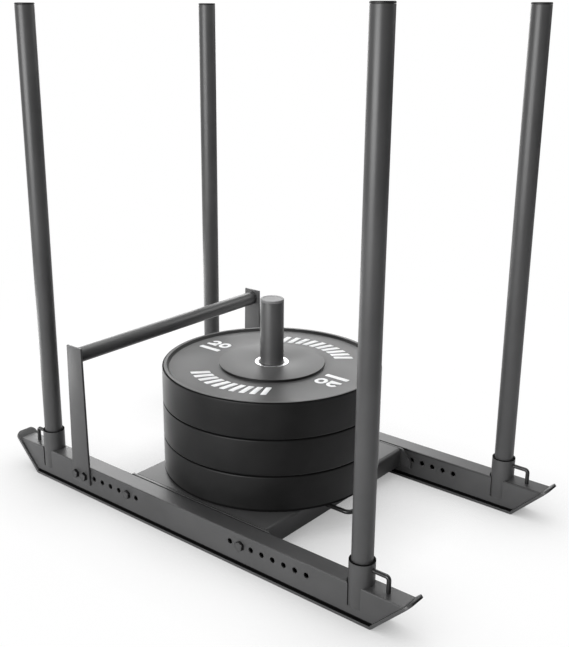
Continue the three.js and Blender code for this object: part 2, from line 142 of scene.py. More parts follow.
# A flat strip bent along a path: at each place a rounded rectangle, width along one direction and
# thickness along the path's normal. Both ends shrink in over the edge radius like a quarter circle.
def stripGrid(path, widths, acrossDirection, thickness, edge, steps=3):
    path = np.asarray(path, float)
    widths = np.broadcast_to(widths, len(path)).astype(float)
    distance = np.concatenate([[0], np.cumsum(np.linalg.norm(np.diff(path, axis=0), axis=1))])
    quarter = np.linspace(0, np.pi / 2, steps + 1)
    inFrom = edge * (1 - np.cos(quarter))
    clear = edge * meshSizes["clear"]
    inner = distance[(distance > clear) & (distance < distance[-1] - clear)]
    place = np.concatenate([inFrom, inner, distance[-1] - inFrom[::-1]])
    ease = np.concatenate([edge * (1 - np.sin(quarter)), 0 * inner, edge * (1 - np.sin(quarter[::-1]))])
    centre = np.stack([np.interp(place, distance, path[:, k]) for k in range(3)], -1)
    width = np.interp(place, distance, widths)
    ahead = np.gradient(path, distance, axis=0)
    ahead = np.stack([np.interp(place, distance, ahead[:, k]) for k in range(3)], -1)
    ahead /= np.linalg.norm(ahead, axis=1, keepdims=True)
    across = np.asarray(acrossDirection, float)
    normal = np.cross(across, ahead)
    angle = (np.arange(4)[:, None] * np.pi / 2 + quarter[None]).ravel()
    signs = np.repeat([[1, 1], [-1, 1], [-1, -1], [1, -1]], steps + 1, 0)
    roundness = edge - ease[:, None]
    wide = signs[:, 0] * (width[:, None] / 2 - edge) + roundness * np.cos(angle)
    thick = signs[:, 1] * (thickness / 2 - edge) + roundness * np.sin(angle)
    ring = centre[:, None] + wide[..., None] * across + thick[..., None] * normal[:, None]
    caps = np.repeat(centre[[0, -1], None], ring.shape[1], 1)
    return np.concatenate([caps[:1], ring, caps[1:]]), False, True


# A round rod along a path that lies in a plane: path + radius (cos(angle) side + sin(angle) planeNormal)
def rodGrid(path, planeNormal, radius, sideCount=24):
    path = np.asarray(path, float)
    ahead = np.gradient(path, axis=0)
    ahead /= np.linalg.norm(ahead, axis=1, keepdims=True)
    up = np.asarray(planeNormal, float)
    side = np.cross(up, ahead)
    angle = np.linspace(0, 2 * np.pi, sideCount, endpoint=False)[None, :, None]
    ring = path[:, None] + radius * (np.cos(angle) * side[:, None] + np.sin(angle) * up)
    caps = np.repeat(path[[0, -1], None], sideCount, 1)
    return np.concatenate([caps[:1], ring, caps[1:]]), False, True


# Straight runs joined by arcs of one radius, with even steps along the runs
def bentPath(corners, radius, arcSteps=10, runSteps=6):
    corners = np.asarray(corners, float)
    inner = filleted(corners, radius, arcSteps).reshape(len(corners), arcSteps + 1, 3)[1:-1]
    bends = inner.reshape(-1, 3)
    share = np.linspace(0, 1, runSteps, endpoint=False)[:, None]
    lead = corners[0] + share * (bends[0] - corners[0])
    trail = corners[-1] + share[::-1] * (bends[-1] - corners[-1])
    return np.concatenate([lead, bends, trail])


# Takes the cutters' solids out of a piece and keeps the result as a plain mesh
def cutOut(piece, cutters):
    cutter = meshPiece("cutter", cutters)
    cut = piece.modifiers.new("cut", "BOOLEAN")
    cut.operation, cut.solver, cut.object = "DIFFERENCE", "EXACT", cutter
    graph = bpy.context.evaluated_depsgraph_get()
    mesh = bpy.data.meshes.new_from_object(piece.evaluated_get(graph))
    piece.modifiers.clear()
    piece.data = mesh
    bpy.data.objects.remove(cutter)
    mesh.set_sharp_from_angle(angle=math.radians(meshSizes["sharpAngle"]))
    return piece


def finishPiece(piece, body, material, nodes):
    piece.data.materials.clear()
    piece.data.materials.append(material)
    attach(piece, body)
    if nodes:
        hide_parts(*nodes)


# Materials

class Wire:  # a shader socket that takes part in sums
    def __init__(self, maker, socket):
        self.maker, self.socket = maker, socket

    def __add__(self, other):
        return self.maker.compute("ADD", self, other)

    def __radd__(self, other):
        return self.maker.compute("ADD", other, self)

    def __sub__(self, other):
        return self.maker.compute("SUBTRACT", self, other)

    def __rsub__(self, other):
        return self.maker.compute("SUBTRACT", other, self)

    def __mul__(self, other):
        return self.maker.compute("MULTIPLY", self, other)

    def __rmul__(self, other):
        return self.maker.compute("MULTIPLY", other, self)


class Maker:  # adds nodes to one material's or world's tree
    def __init__(self, owner):
        owner.use_nodes = True
        self.owner, self.tree = owner, owner.node_tree
        self.tree.nodes.clear()

    def node(self, kind, settings=None, values=None, out=0):
        made = self.tree.nodes.new(kind)
        for name, value in (settings or {}).items():
            setattr(made, name, value)
        for name, value in (values or {}).items():
            if isinstance(value, Wire):
                self.tree.links.new(value.socket, made.inputs[name])
            else:
                made.inputs[name].default_value = value
        return Wire(self, made.outputs[out]) if made.outputs else None

    def compute(self, operation, first, second=0.0):
        return self.node("ShaderNodeMath", {"operation": operation}, {0: first, 1: second})

    def place(self):
        return self.node("ShaderNodeTexCoord", out="Object")

    def axis(self, place, name):
        return self.node("ShaderNodeSeparateXYZ", {}, {"Vector": place}, out=name)

    def flattened(self, place):
        return self.node("ShaderNodeVectorMath", {"operation": "MULTIPLY"}, {0: place, 1: (1, 1, 0)})

    def length(self, vector):
        return self.node("ShaderNodeVectorMath", {"operation": "LENGTH"}, {0: vector}, out="Value")

    def absolute(self, value):
        return self.compute("ABSOLUTE", value)

    def noise(self, place, scale, detail, roughness=0.5):
        return self.node("ShaderNodeTexNoise", {}, {
            "Vector": place, "Scale": scale, "Detail": detail, "Roughness": roughness})

    # Eases from one value to the other while the input goes from low to high
    def eased(self, value, low, high, outLow=0.0, outHigh=1.0):
        return self.node("ShaderNodeMapRange", {"interpolation_type": "SMOOTHSTEP"}, {
            "Value": value, "From Min": low, "From Max": high, "To Min": outLow, "To Max": outHigh})

    def tint(self, noise, look, low=0.3, high=0.7):
        return self.node("ShaderNodeMix", {"data_type": "RGBA"}, {
            0: self.eased(noise, low, high), 6: gray(look["dark"]), 7: gray(look["pale"])}, out=2)

    def bump(self, height, look):
        return self.node("ShaderNodeBump", {}, {
            "Strength": look["bump"], "Distance": look["depth"], "Height": height})

    def finish(self, shader):
        self.node("ShaderNodeOutputMaterial", {}, {"Surface": shader})
        return self.owner


# The mean of a noise texture, and how much more blue than red the greys have
noiseMean = 0.5
blueLift = 1.01

# Matt black of painted shade
paintedShadeLook = {"colour": 0.003, "gloss": 0.9, "specular": 0.1}


def gray(value):
    return (value, value, value * blueLift, 1)


# Paints shade: turns a surface matt black where the share is 1, in creases that hardly any light reaches
def withPaintedShade(make, shader, share):
    black = make.node("ShaderNodeBsdfPrincipled", {}, {
        "Base Color": gray(paintedShadeLook["colour"]), "Roughness": paintedShadeLook["gloss"],
        "Specular IOR Level": paintedShadeLook["specular"]})
    return make.node("ShaderNodeMixShader", {}, {0: share, 1: shader, 2: black})


# Powder coat: fine orange-peel bumps and cloudy, slightly uneven colour and gloss, with painted shade where
# a mask is given
powderCoatLook = {"dark": 0.052, "pale": 0.067, "gloss": 0.36, "specular": 0.4}
rodCoatLook = {"dark": 0.009, "pale": 0.016, "gloss": 0.3, "specular": 0.5}
coatTexture = {"cloud": 9, "cloudDetail": 4, "cloudShare": 0.75, "cloudGloss": 0.1, "grain": 900,
               "grainDetail": 3, "grainRoughness": 0.6, "grainGloss": 0.06, "speck": 810,
               "peelShare": 0.6, "bump": 0.16, "depth": 0.25 * mm}


def powderCoatMaterial(name, look, paintedShadeMask=None):
    make = Maker(bpy.data.materials.new(name))
    coat = coatTexture
    place = make.place()
    cloud = make.noise(place, coat["cloud"], coat["cloudDetail"])
    grain = make.noise(place, coat["grain"], coat["grainDetail"], coat["grainRoughness"])
    speck = make.node("ShaderNodeTexVoronoi", {}, {"Vector": place, "Scale": coat["speck"]})
    tone = cloud * coat["cloudShare"] + grain * (1 - coat["cloudShare"])
    height = grain * coat["peelShare"] + speck * (1 - coat["peelShare"])
    gloss = look["gloss"] + coat["cloudGloss"] * (cloud - noiseMean) + coat["grainGloss"] * grain
    shader = make.node("ShaderNodeBsdfPrincipled", {}, {
        "Base Color": make.tint(tone, look), "Roughness": gloss, "Normal": make.bump(height, coat),
        "Specular IOR Level": look["specular"]})
    if paintedShadeMask:
        shader = withPaintedShade(make, shader, paintedShadeMask(make, place))
    return make.finish(shader)


skidSizes = {"thickness": 6 * mm, "width": 50 * mm, "flat": 443 * mm, "flap": 103.5 * mm, "tip": 14 * mm,
             "bend": 4.2 * mm, "edge": 1.0 * mm, "bendSteps": 8, "runSteps": 2, "tipSteps": 14,
             "placeDigits": 7}

# Places with painted shade, made matt black: the skid's upper face beside the rail and its end faces, the
# rail's lower corner and inner top edge, the sleeve's lip, the seams between the plates and the bottom
# plate's foot
paintedShadeSizes = {"soft": 0.8 * mm,
               "skidTop": 5.3 * mm, "skidReach": 441 * mm, "tipHeight": 3.4 * mm, "tipShare": 0.85,
               "railFoot": 9.6 * mm, "railInside": 235.6 * mm, "railEdge": 62.8 * mm, "edgeShare": 0.95,
               "trayReach": 183 * mm, "trayFade": 25 * mm, "openShare": 0.4, "sleeveLip": 108.3 * mm,
               "plateLow": 66.6 * mm, "plateStep": 74.9 * mm, "plateRadius": 221 * mm,
               "plateEdge": 1.5 * mm, "plateFoot": 72.2 * mm}


# Soft steps at an edge: 1 above it, or 1 below it
def above(make, value, edge):
    return make.eased(value, edge, edge + paintedShadeSizes["soft"])


def below(make, value, edge):
    return make.eased(value, edge, edge + paintedShadeSizes["soft"], 1.0, 0.0)


# Painted shade on the skid's upper face beside the rail and on the end faces of the flaps' tips
# On a flap at 45 degrees |x| + z grows with its length and z - |x| with its thickness
def skidPaintedShade(make, place):
    size, soft = paintedShadeSizes, paintedShadeSizes["soft"]
    height = make.axis(place, "Z")
    along = make.absolute(make.axis(place, "X"))
    top = make.eased(height, size["skidTop"], size["skidTop"] + soft / 2)
    within = below(make, along, size["skidReach"])
    tip = skidSizes["flat"] + skidSizes["flap"] * math.sqrt(2)
    low = size["tipHeight"] * math.sqrt(2) - skidSizes["flat"]
    end = make.eased(along + height, tip - soft, tip - soft / 2)
    return top * within + end * below(make, height - along, low) * size["tipShare"]


# Painted shade along the rail's lower corner and inner top edge; the inner top edge is darkest beside the
# tray
def railPaintedShade(make, place):
    size = paintedShadeSizes
    height = make.axis(place, "Z")
    along = make.absolute(make.axis(place, "X"))
    across = make.absolute(make.axis(place, "Y"))
    share = make.eased(along, size["trayReach"], size["trayReach"] + size["trayFade"],
                       size["edgeShare"], size["openShare"])
    edge = above(make, height, size["railEdge"]) * share
    return below(make, height, size["railFoot"]) + edge * below(make, across, size["railInside"])


# Painted shade on the sleeve's top lip, in the gap around the pole
def sleevePaintedShade(make, place):
    lip = paintedShadeSizes["sleeveLip"]
    return make.eased(make.axis(place, "Z"), lip - paintedShadeSizes["soft"] / 2, lip)


# Painted shade in the seams between the plates and at the bottom plate's foot. Distance to the nearest
# seam: |(z - low + step / 2) mod step - step / 2|, at the outer edge only
def platePaintedShade(make, place):
    size = paintedShadeSizes
    height = make.axis(place, "Z")
    foot = below(make, height, size["plateFoot"])
    height = height - (size["plateLow"] - size["plateStep"] / 2)
    height = make.compute("FLOORED_MODULO", height, size["plateStep"])
    seam = make.absolute(height - size["plateStep"] / 2)
    outer = above(make, make.length(make.flattened(place)), size["plateRadius"])
    seam = below(make, seam, size["plateEdge"])
    return outer * make.compute("MAXIMUM", seam, foot)


# Moulded rubber: soft satin with a fine grain and faint cloudy flow marks, and painted shade at the seams
plateRubberLook = {"dark": 0.003, "pale": 0.006, "gloss": 0.44, "specular": 0.22, "sheen": 0.42,
                   "sheenGloss": 0.35, "flow": 16, "flowDetail": 5, "flowRoughness": 0.55,
                   "flowGloss": 0.12, "flowShare": 0.3, "grain": 700, "grainDetail": 2,
                   "grainRoughness": 0.6, "grainGloss": 0.05, "bump": 0.12, "depth": 0.2 * mm}


def plateRubberMaterial(name, look):
    make = Maker(bpy.data.materials.new(name))
    place = make.place()
    flow = make.noise(place, look["flow"], look["flowDetail"], look["flowRoughness"])
    grain = make.noise(place, look["grain"], look["grainDetail"], look["grainRoughness"])
    height = grain + flow * look["flowShare"]
    gloss = look["gloss"] + look["flowGloss"] * (flow - noiseMean) + look["grainGloss"] * grain
    shader = make.node("ShaderNodeBsdfPrincipled", {}, {
        "Base Color": make.tint(flow, look), "Roughness": gloss, "Normal": make.bump(height, look),
        "Specular IOR Level": look["specular"], "Sheen Weight": look["sheen"],
        "Sheen Roughness": look["sheenGloss"]})
    return make.finish(withPaintedShade(make, shader, platePaintedShade(make, place)))


# Turned steel: rings of fine tool marks around the vertical axis, bright with a few duller rings
hubSteelLook = {"dark": 0.74, "pale": 0.86, "gloss": 0.24, "ringsPerMetre": 2600, "turn": 6.283,
                "ringShare": 0.35, "uneven": 900, "unevenDetail": 3.0, "unevenGloss": 0.12,
                "bump": 0.15, "depth": 0.1 * mm}


def hubSteelMaterial(name, look):
    make = Maker(bpy.data.materials.new(name))
    radius = make.length(make.flattened(make.place()))
    rings = make.compute("SINE", radius * look["ringsPerMetre"] * look["turn"])
    uneven = make.node("ShaderNodeTexNoise", {"noise_dimensions": "1D"}, {
        "W": radius * look["uneven"], "Detail": look["unevenDetail"]})
    height = rings * look["ringShare"] + uneven
    return make.finish(make.node("ShaderNodeBsdfPrincipled", {}, {
        "Base Color": make.tint(uneven, look), "Metallic": 1.0,
        "Roughness": look["gloss"] + look["unevenGloss"] * uneven, "Normal": make.bump(height, look)}))


# Moulded plastic and paint: even colour with a faint mottle and spark-eroded grain
plugPlasticLook = {"dark": 0.014, "pale": 0.02, "gloss": 0.5, "specular": 0.3}
capPlasticLook = {"dark": 0.14, "pale": 0.17, "gloss": 0.5, "specular": 0.3}
markPaintLook = {"dark": 0.74, "pale": 0.8, "gloss": 0.55, "specular": 0.3}
plasticTexture = {"mottle": 60, "mottleDetail": 3, "grain": 1100, "grainDetail": 2,
                  "grainRoughness": 0.6, "grainGloss": 0.1, "bump": 0.1, "depth": 0.2 * mm}


def plasticMaterial(name, look):
    make = Maker(bpy.data.materials.new(name))
    texture = plasticTexture
    place = make.place()
    mottle = make.noise(place, texture["mottle"], texture["mottleDetail"])
    grain = make.noise(place, texture["grain"], texture["grainDetail"], texture["grainRoughness"])
    return make.finish(make.node("ShaderNodeBsdfPrincipled", {}, {
        "Base Color": make.tint(mottle, look), "Normal": make.bump(grain, texture),
        "Roughness": look["gloss"] + texture["grainGloss"] * (grain - noiseMean),
        "Specular IOR Level": look["specular"]}))


# Black-coated steel of bolts and nuts: thin coating that is a little duller in patches. A paler copy for
# the bolts' flat end faces is painted light
paintedLightBoltFaceLook = {"dark": 0.05, "pale": 0.075, "gloss": 0.4, "metal": 0.3}
boltSteelLook = {"dark": 0.006, "pale": 0.012, "gloss": 0.34, "metal": 0.3}
steelTexture = {"patch": 220, "patchDetail": 3, "patchGloss": 0.15, "toneFrom": 0.35, "toneTo": 0.7,
                "grain": 1600, "grainDetail": 2, "bump": 0.1, "depth": 0.1 * mm}


def boltSteelMaterial(name, look):
    make = Maker(bpy.data.materials.new(name))
    texture = steelTexture
    place = make.place()
    patch = make.noise(place, texture["patch"], texture["patchDetail"])
    grain = make.noise(place, texture["grain"], texture["grainDetail"])
    return make.finish(make.node("ShaderNodeBsdfPrincipled", {}, {
        "Base Color": make.tint(patch, look, texture["toneFrom"], texture["toneTo"]),
        "Metallic": look["metal"], "Roughness": look["gloss"] + texture["patchGloss"] * patch,
        "Normal": make.bump(grain, texture)}))


powderCoat = powderCoatMaterial("charcoalPowderCoat", powderCoatLook)
# Copies of the powder coat with painted shade in their creases
skidCoatPaintedShade = powderCoatMaterial("skidPowderCoatPaintedShade", powderCoatLook, skidPaintedShade)
railCoatPaintedShade = powderCoatMaterial("railPowderCoatPaintedShade", powderCoatLook, railPaintedShade)
sleeveCoatPaintedShade = powderCoatMaterial("sleevePowderCoatPaintedShade", powderCoatLook, sleevePaintedShade)
rodCoat = powderCoatMaterial("darkRodCoat", rodCoatLook)
plateRubber = plateRubberMaterial("mouldedPlateRubber", plateRubberLook)
hubSteel = hubSteelMaterial("turnedHubSteel", hubSteelLook)
plugPlastic = plasticMaterial("plugPlastic", plugPlasticLook)
capPlastic = plasticMaterial("capPlastic", capPlasticLook)
markPaint = plasticMaterial("markPaint", markPaintLook)
boltSteel = boltSteelMaterial("blackenedBoltSteel", boltSteelLook)
paintedLightBoltFace = boltSteelMaterial("boltFacePaintedLight", paintedLightBoltFaceLook)
print("materials made")

# Skids

# Strip along the flat foot and up both flaps; towards each tip the width follows the tip's round corners
def makeSkid(name, sideName, size):
    y = sides[sideName] * railY
    half = size["thickness"] / 2
    reach = size["flap"] * math.cos(math.pi / 4)
    lift = half * math.tan(math.pi / 8)
    tipX = size["flat"] + reach - half * math.sin(math.pi / 4)
    tipZ = reach + half * math.cos(math.pi / 4)
    corners = np.array([[-tipX, y, tipZ], [-size["flat"] + lift, y, half], [size["flat"] - lift, y, half],
                        [tipX, y, tipZ]])
    coarse = bentPath(corners, size["bend"], size["bendSteps"], size["runSteps"])
    distance = np.concatenate([[0], np.cumsum(np.linalg.norm(np.diff(coarse, axis=0), axis=1))])
    total = distance[-1]
    curl = size["tip"] * (1 - np.cos(np.linspace(0, np.pi / 2, size["tipSteps"])))
    place = np.concatenate([curl, distance[1:-1], total - curl])
    place = np.unique(np.round(place, size["placeDigits"]))
    path = np.stack([np.interp(place, distance, coarse[:, k]) for k in range(3)], -1)
    fromTip = np.minimum(place, total - place)
    inset = size["tip"] - np.sqrt(size["tip"] ** 2 - np.clip(size["tip"] - fromTip, 0, size["tip"]) ** 2)
    widths = size["width"] - 2 * inset
    grid = stripGrid(path, widths, (0, 1, 0), size["thickness"], size["edge"])
    return meshPiece(name, [grid])


railLow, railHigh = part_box("rail_right")
railBase, railTop = railLow.z, railHigh.z
railLength = railHigh.x - railLow.x
railY = abs(railLow.y + railHigh.y) / 2
for sideName in sides:
    skid = makeSkid(f"skidRunner.{sideName}", sideName, skidSizes)
    finishPiece(skid, "frame", skidCoatPaintedShade, [f"skid_{sideName}"])
print("skids made")

# Rails

railSizes = {"width": 40 * mm, "height": 60 * mm, "wall": 3 * mm, "corner": 2.4 * mm, "inner": 1.2 * mm,
             "cornerSteps": 8, "holes": 8, "pitch": 25.4 * mm, "first": 127 * mm, "drop": 21.8 * mm,
             "hole": 5.5 * mm, "holeSides": 32, "poleX": 406.4 * mm, "opening": 24 * mm,
             "openingShift": -1.5 * mm, "openingFoot": 42.3 * mm, "openingSides": 72, "overrun": 8 * mm}


# Rounded box section carried along X; both ends are cut to the slope of the skid's flaps,
# so x = end + (z - base). The inner skin runs back inside, which closes the wall.
def makeRail(name, sideName, size):
    y = sides[sideName] * railY
    halfWidth = size["width"] / 2
    corners = square * [halfWidth, size["height"] / 2] + [0, size["height"] / 2]
    outer = filleted(corners, size["corner"], size["cornerSteps"])
    inner = filleted(corners - square * size["wall"], size["inner"], size["cornerSteps"])
    endX = railLength / 2 - (railTop - railBase)
    rows = []
    for skin, sign in ((outer, -1), (outer, 1), (inner, 1), (inner, -1)):
        x = sign * (endX + skin[:, 1])
        rows.append(np.stack([x, y + skin[:, 0], railBase + skin[:, 1]], -1))
    rail = meshPiece(name, [(np.array(rows), True, True)])

    cutters = []
    holeX = size["first"] + np.arange(size["holes"]) * size["pitch"]
    reach = halfWidth + size["overrun"]
    foot = railTop - size["openingFoot"]
    for end in ends.values():
        for x in end * holeX:
            barrel = [(0, y - reach), (size["hole"], y - reach), (size["hole"], y + reach), (0, y + reach)]
            cutters.append(turnedAlongY(barrel, x, railTop - size["drop"], size["holeSides"]))
        opening, high = size["opening"], railTop + reach
        barrel = [(0, foot), (opening, foot), (opening, high), (0, high)]
        axis = (end * size["poleX"] + size["openingShift"], y)
        cutters.append(turnedGrid(barrel, axis, size["openingSides"]))
    return cutOut(rail, cutters)


for sideName in sides:
    rail = makeRail(f"railTube.{sideName}", sideName, railSizes)
    finishPiece(rail, "frame", railCoatPaintedShade, [f"rail_{sideName}"])
print("rails made")

# Sleeves, tie-down loops and poles; a plug's edges are the radii of its outline's corners, in order

sleeveSizes = {"radius": 23 * mm, "bore": 20.2 * mm, "lip": 1.1 * mm, "foot": 0.6 * mm, "steps": 5,
               "sides": 96}
tieLoopSizes = {"radius": 4 * mm, "rise": 29 * mm, "reach": 53.5 * mm, "bend": 6 * mm, "sunk": 0.6 * mm,
                "footSunk": 0.2 * mm}
poleSizes = {"radius": 19 * mm, "bore": 16.5 * mm, "edge": 0.5 * mm, "sides": 96}
plugSizes = {"radius": 19 * mm, "flange": 3.5 * mm, "stem": 16.2 * mm, "steps": 6, "sides": 96,
             "edges": [0, 1 * mm, 0.1 * mm, 0.3 * mm, 1.6 * mm, 0]}

for sideName, side in sides.items():
    for endName, end in ends.items():
        corner = f"{endName}_{sideName}"
        axis = (end * railSizes["poleX"], side * railY)

        size = sleeveSizes
        low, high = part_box(f"sleeve_{corner}")
        edges = [size["foot"], size["foot"], size["lip"], size["lip"]]
        outline = tubeOutline(size, low.z, high.z, edges, size["steps"])
        sleeve = meshPiece(f"sleeveTube.{corner}", [turnedGrid(outline, axis, size["sides"])])
        finishPiece(sleeve, "frame", sleeveCoatPaintedShade, [f"sleeve_{corner}"])

        size = tieLoopSizes
        startX = end * (railSizes["poleX"] + sleeveSizes["radius"] - size["sunk"])
        farX = end * (railSizes["poleX"] + size["reach"])
        topZ = railTop + size["rise"]
        footZ = railTop - size["footSunk"]
        bends = [(startX, axis[1], topZ), (farX, axis[1], topZ), (farX, axis[1], footZ)]
        rod = rodGrid(bentPath(bends, size["bend"]), (0, 1, 0), size["radius"])
        loop = meshPiece(f"tieRod.{corner}", [rod])
        finishPiece(loop, "frame", rodCoat, [f"tie_loop_{corner}"])

        body = f"upright_{corner}"
        size = poleSizes
        low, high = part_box(f"pole_{corner}")
        outline = tubeOutline(size, low.z, high.z, size["edge"])
        pole = meshPiece(f"poleTube.{corner}", [turnedGrid(outline, axis, size["sides"])])
        finishPiece(pole, body, powderCoat, [f"pole_{corner}"])

        size = plugSizes
        for place, upward in (("foot", -1), ("top", 1)):
            low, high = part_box(f"pole_{place}_plug_{corner}")
            face, stemEnd = (high.z, low.z) if upward > 0 else (low.z, high.z)
            seat = face - upward * size["flange"]
            outline = filleted(
                [(0, stemEnd), (size["stem"], stemEnd), (size["stem"], seat), (size["radius"], seat),
                 (size["radius"], face), (0, face)], size["edges"], size["steps"])
            plug = meshPiece(f"polePlug.{place}_{corner}", [turnedGrid(outline, axis, size["sides"])])
            finishPiece(plug, body, plugPlastic, [f"pole_{place}_plug_{corner}"])
print("poles made")

# Tray with flanges and pull loop

traySizes = {"thickness": 5 * mm, "bend": 4.5 * mm, "edge": 0.6 * mm, "bendSteps": 8, "runSteps": 3}
flangeSizes = {"thickness": 6 * mm, "edge": 0.7 * mm, "shoulder": 16 * mm, "topLength": 360 * mm,
               "blend": 0.5 * mm}
pullSizes = {"radius": 4.5 * mm, "width": 88 * mm, "bend": 13 * mm, "sunk": 0.6 * mm}

size = traySizes
low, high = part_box("weight_tray")
half = size["thickness"] / 2
folds = [(low.x + half, 0, low.z), (low.x + half, 0, high.z - half), (high.x - half, 0, high.z - half),
         (high.x - half, 0, low.z)]
path = bentPath(folds, size["bend"], size["bendSteps"], size["runSteps"])
sheet = stripGrid(path, high.y - low.y, (0, 1, 0), size["thickness"], size["edge"])
tray = meshPiece("foldedTray", [sheet])
finishPiece(tray, "frame", powderCoat, ["weight_tray"])

size = flangeSizes
for sideName in sides:
    low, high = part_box(f"tray_flange_{sideName}")
    y, full, blend = (low.y + high.y) / 2, high.x - low.x, size["blend"]
    heights = np.array([0, size["shoulder"] - blend, size["shoulder"] + blend, high.z - low.z])
    lengths = np.array([full, full, full - 2 * blend, size["topLength"]])
    path = np.stack([0 * heights, 0 * heights + y, low.z + heights], -1)
    sheet = stripGrid(path, lengths, (1, 0, 0), size["thickness"], size["edge"])
    flange = meshPiece(f"trayFlange.{sideName}", [sheet])
    finishPiece(flange, "frame", powderCoat, [f"tray_flange_{sideName}"])

low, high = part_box("pull_loop")
z = (low.z + high.z) / 2
farX = high.x - pullSizes["radius"]
nearX = low.x - pullSizes["sunk"]
leg = pullSizes["width"] / 2
path = bentPath([(nearX, -leg, z), (farX, -leg, z), (farX, leg, z), (nearX, leg, z)], pullSizes["bend"])
pullRod = meshPiece("pullRod", [rodGrid(path, (0, 0, 1), pullSizes["radius"])])
finishPiece(pullRod, "frame", rodCoat, ["pull_loop"])
print("tray made")

# Horn

hornSizes = {"radius": 24 * mm, "bore": 20.5 * mm, "edge": 0.5 * mm, "sides": 112}
capSizes = {"flange": 5 * mm, "stem": 20.2 * mm, "dish": 0.35 * mm, "dishRadius": 19 * mm,
            "dishSlope": 0.8 * mm, "steps": 6,
            "edges": [0, 1 * mm, 0.1 * mm, 0.3 * mm, 1.6 * mm, 0.3 * mm, 0.3 * mm, 0]}

low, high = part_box("horn_tube")
outline = tubeOutline(hornSizes, low.z, high.z, hornSizes["edge"])
horn = meshPiece("hornPost", [turnedGrid(outline, (0, 0), hornSizes["sides"])])
finishPiece(horn, "frame", powderCoat, ["horn_tube"])

size = capSizes
low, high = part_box("horn_cap")
seat, dish = high.z - size["flange"], high.z - size["dish"]
outline = filleted(
    [(0, low.z), (size["stem"], low.z), (size["stem"], seat), (hornSizes["radius"], seat),
     (hornSizes["radius"], high.z), (size["dishRadius"], high.z),
     (size["dishRadius"] - size["dishSlope"], dish), (0, dish)], size["edges"], size["steps"])
cap = meshPiece("hornCapDisc", [turnedGrid(outline, (0, 0), hornSizes["sides"])])
finishPiece(cap, "frame", capPlastic, ["horn_cap"])
print("horn made")

# Weight plates; the edges are the radii of the lower half's corners, from the middle outwards

plateSizes = {"radius": 225 * mm, "rim": 9.5 * mm, "slope": 5 * mm, "recess": 5 * mm, "hub": 108 * mm,
              "seat": 34.7 * mm, "sides": 192, "steps": 6, "sharpAngle": 40,
              "edges": [0.4 * mm, 0.8 * mm, 0.6 * mm, 1.2 * mm, 1.2 * mm, 4 * mm]}
ringSizes = {"radius": 34.5 * mm, "bore": 25.5 * mm, "chamfer": 3 * mm, "sides": 128, "steps": 3,
             "edges": [0.2 * mm, 0.3 * mm, 0.4 * mm]}
markSizes = {"height": 0.5 * mm, "sunk": 0.3 * mm, "stroke": 7.3 * mm, "digitHigh": 28 * mm,
             "digitWide": 25 * mm, "digitGap": 3 * mm, "digitRise": 16 * mm, "barDrop": 17 * mm,
             "barHigh": 11 * mm, "barEdge": 1.5 * mm, "edgeSteps": 4, "footPoints": 6, "footLift": 2e-6,
             "places": [(-160.5 * mm, 2.5 * mm, 0), (151 * mm, 2.5 * mm, math.pi)],
             "arcs": [-87, 85.5], "slantLow": 134 * mm, "slantHigh": 172 * mm, "slantWide": 11.5 * mm,
             "slantLean": 9 * mm, "slantCount": 10, "slantSpan": 65, "slantEdge": 1.4 * mm,
             "sharpAngle": 50}
markShares = {"barTop": 0.97, "barWall": 0.7, "strokeTop": 0.93, "strokeWall": 0.8, "bowFrom": 165,
              "bowTo": -35, "bowSteps": 20, "sweepFrom": 0.08, "sweepSteps": 8, "zeroRound": 0.49,
              "zeroSteps": 10}


# Disc turned from one outline: rim, slope, recess and raised hub, the same above and below
def makePlate(name, low, high, size):
    rimIn = size["radius"] - size["rim"]
    slopeIn = rimIn - size["slope"]
    base, top = low.z, high.z
    deep = size["recess"]
    corners = [
        (size["seat"], base), (size["hub"], base), (size["hub"], base + deep), (slopeIn, base + deep),
        (rimIn, base), (size["radius"], base), (size["radius"], top), (rimIn, top),
        (slopeIn, top - deep), (size["hub"], top - deep), (size["hub"], top), (size["seat"], top)]
    outline = filleted(corners, size["edges"] + size["edges"][::-1], size["steps"])
    return meshPiece(name, [turnedGrid(outline, (0, 0), size["sides"])], size["sharpAngle"])


# Steel ring with a chamfered bore
def makeRing(name, low, high, size):
    wide = size["bore"] + size["chamfer"]
    corners = [(size["bore"], low.z + size["chamfer"]), (wide, low.z), (size["radius"], low.z),
               (size["radius"], high.z), (wide, high.z), (size["bore"], high.z - size["chamfer"])]
    outline = filleted(corners, size["edges"] + size["edges"][::-1], size["steps"])
    return meshPiece(name, [turnedGrid(outline, (0, 0), size["sides"])])


# A flat raised shape from an outline: three loops, from its sunk foot to a slightly smaller top face
def raisedGrid(outline, base, height):
    outline = np.asarray(outline, float)
    centre = outline.mean(0)
    middle = centre + 0 * outline
    inner = centre + (outline - centre) * markShares["barTop"]
    loops = [(middle, base), (outline, base), (outline, base + height * markShares["barWall"]),
             (inner, base + height), (middle, base + height)]
    rows = [np.column_stack([points, np.full(len(points), z)]) for points, z in loops]
    return np.array(rows), False, True


# Both edges of a stroke of constant width: its centre line +- half the width times the normal
def strokeOutline(line, width, closed=False):
    line = np.asarray(line, float)
    if closed:
        ahead = np.roll(line, -1, 0) - np.roll(line, 1, 0)
    else:
        ahead = np.gradient(line, axis=0)
    ahead /= np.linalg.norm(ahead, axis=1, keepdims=True)
    normal = np.stack([-ahead[:, 1], ahead[:, 0]], -1) * width / 2
    return line + normal, line - normal


